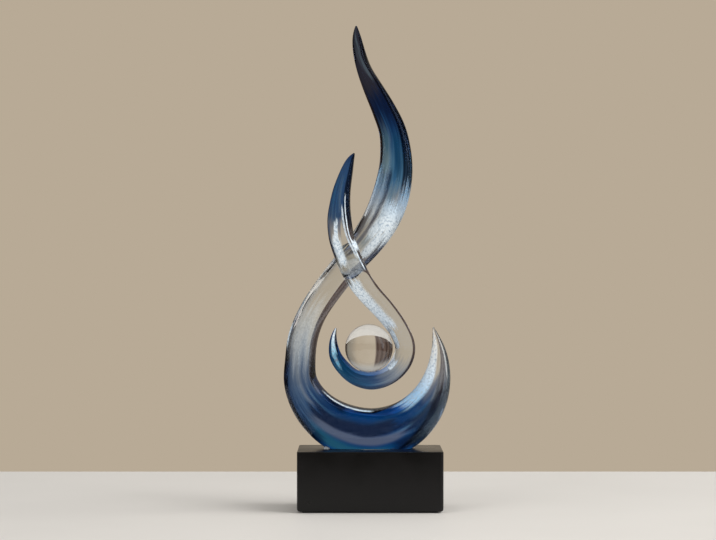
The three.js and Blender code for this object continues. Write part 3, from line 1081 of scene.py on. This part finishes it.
# Painted highlights on the small strand: streaks down the flame and shank, a star of light at the crossing,
# and sparkles at the hook's tip.
add_highlight_veil(
    small,
    "highlight_veil_small",
    [(0.1, 0.72), (0.85, 1.0)],
    painted_highlight_skin(
        "painted_highlight_skin_small",
        ribbons=[
            (1.0, -0.3, -0.45, 0.22, 0.2, 0.27, 0.02),
            (1.0, -0.45, -0.5, 0.4, 0.245, 0.34, 0.02),
            (0.9, 0.42, 0.8, 0.06, 0.12, 0.37, 0.02),
            (0.5, 0.2, 0.6, 0.1, 0.16, 0.33, 0.02),
            (1.0, 0.75, 0.8, 0.25, 0.27, 0.31, 0.015),
            (0.13, 0.1, 0.1, 0.9, 0.32, 0.372, 0.006),
            (1.0, -0.6, -0.65, 0.7, 0.368, 0.57, 0.03),
            (0.9, -0.65, -0.75, 0.3, 0.55, 0.635, 0.02),
            (1.0, -0.6, -0.6, 0.25, 0.67, 0.78, 0.02),
            (0.4, 0.25, 0.0, 0.3, 0.87, 0.94, 0.02),
            (1.0, 0.0, 0.0, 0.55, 0.91, 1.02, 0.02),
        ],
        tints=[
            (0.3, highlight_white), (0.4, highlight_white), (0.65, shank_highlight), (0.78, highlight_white), (0.87, hook_highlight),
            (0.93, hook_tip_highlight), (0.98, highlight_white),
        ],
        thinnest=0.8,
    ),
)


# Studio
# A pale table top, a plain warm backdrop and soft light from the right. The lamps are hidden from the
# glass, which shows a painted surround instead.
table_width = 1.3
table_back = 0.31
table_front = -1.6


def pale_table():
    material, tree, shader = new_material("pale_table")
    cloud = noise(tree, object_point(tree), scale=3, detail=3)
    colour = ramp(tree, cloud, [(0.3, (208, 204, 198)), (0.7, (215, 211, 205))])
    tree.links.new(colour, shader.inputs["Base Color"])
    shader.inputs["Roughness"].default_value = 0.6
    return material


bpy.ops.object.select_all(action="DESELECT")
bpy.ops.mesh.primitive_plane_add(size=1)
table = bpy.context.object
table.name = "table_top"
table.data.materials.append(pale_table())
for vertex in table.data.vertices:
    vertex.co.x *= table_width
    vertex.co.y = table_back if vertex.co.y > 0 else table_front


def add_softbox(name, location, aim_height, size, power):
    """Adds a square lamp that points at a height on the sculpture and that the glass doesn't show."""
    bpy.ops.object.light_add(type="AREA", location=location)
    lamp = bpy.context.object
    lamp.name = name
    lamp.data.size = size
    lamp.data.energy = power
    lamp.visible_glossy = False
    lamp.visible_transmission = False
    aim = Vector((0, 0, aim_height)) - Vector(location)
    lamp.rotation_euler = aim.to_track_quat("-Z", "Y").to_euler()


add_softbox("key_softbox", (2.2, -0.6, 1.9), aim_height=0.15, size=2.3, power=84)
add_softbox("fill_softbox", (-1.3, -1.4, 0.5), aim_height=0.2, size=1.2, power=16)
add_softbox("top_softbox", (0, 0.1, 1.5), aim_height=0.2, size=1.0, power=5)

# The surround's colours, by degrees to the right of straight behind the sculpture: pale in the middle,
# soft dark stripes to the left, and dim to the right and in front.
surround = [
    (-180, (84, 75, 66)),
    (-115, (84, 75, 66)),
    (-85, (80, 68, 60)),
    (-58, (76, 62, 54)),
    (-50, (56, 43, 38)),
    (-43, (100, 84, 76)),
    (-36, (62, 48, 43)),
    (-30, (108, 92, 84)),
    (-24, (68, 53, 48)),
    (-19, (108, 92, 84)),
    (-14, (76, 60, 54)),
    (-11.5, (110, 94, 86)),
    (-10.8, (190, 177, 158)),
    (22, (184, 170, 150)),
    (34, (160, 150, 135)),
    (58, (136, 130, 118)),
    (64, (46, 40, 38)),
    (110, (70, 62, 56)),
]
backdrop = linear(184, 170, 150)
ceiling = linear(190, 187, 180)
ceiling_from = 0.35
ceiling_full = 0.75
fill_grey = (0.36, 0.36, 0.36, 1.0)


def turn_share(degrees):
    """Turns degrees to the right of straight behind into a share of the round, from 0 to 1."""
    return degrees / 360 + 0.5


# An upright bright strip on the right, which only reflections show. It draws the lines of light on the
# polished edges.
strip_left = turn_share(100)
strip_right = turn_share(118)
strip_softness = 0.01
strip_white = (1.3, 1.35, 1.4, 1.0)
horizon_softness = 0.1

world = bpy.data.worlds.new("studio")
bpy.context.scene.world = world
world.use_nodes = True
tree = world.node_tree
direction = add_node(tree, "ShaderNodeTexCoord").outputs["Generated"]
direction = add_node(tree, "ShaderNodeSeparateXYZ", {"Vector": direction})
turn = calculate(tree, "ARCTAN2", direction.outputs["X"], direction.outputs["Y"])
turn = calculate(tree, "ADD", calculate(tree, "DIVIDE", turn, 2 * math.pi), 0.5)
around = ramp(tree, turn, [(turn_share(degrees), colour) for degrees, colour in surround])
overhead = ease(tree, direction.outputs["Z"], ceiling_from, ceiling_full)
shown_in_glass = blend(tree, overhead, around, ceiling)
paths = add_node(tree, "ShaderNodeLightPath").outputs
right_of_left = ease(tree, turn, strip_left, strip_left + strip_softness)
left_of_right = ease(tree, turn, strip_right, strip_right - strip_softness)
strip = calculate(tree, "MULTIPLY", right_of_left, left_of_right)
above_table = ease(tree, direction.outputs["Z"], -horizon_softness, horizon_softness)
strip = calculate(tree, "MULTIPLY", strip, above_table)
strip = calculate(tree, "MULTIPLY", strip, paths["Is Reflection Ray"])
shown_in_glass = blend(tree, strip, shown_in_glass, strip_white)
through_glass = calculate(tree, "MAXIMUM", paths["Is Transmission Ray"], paths["Is Glossy Ray"])
shown = blend(tree, through_glass, fill_grey, shown_in_glass)
shown = blend(tree, paths["Is Camera Ray"], shown, backdrop)
tree.links.new(shown, tree.nodes["Background"].inputs["Color"])


# Camera
# A level camera in front of the sculpture, at about half its height. Its distance and lens give the
# narrow view of the block's top face.
camera_place = (-10 * MM, -1698 * MM, 198.75 * MM)
bpy.ops.object.camera_add(location=camera_place, rotation=(math.radians(90), 0, 0))
camera = bpy.context.object
camera.data.lens = 102.4
bpy.context.scene.camera = camera
bpy.context.scene.view_settings.view_transform = "Standard"
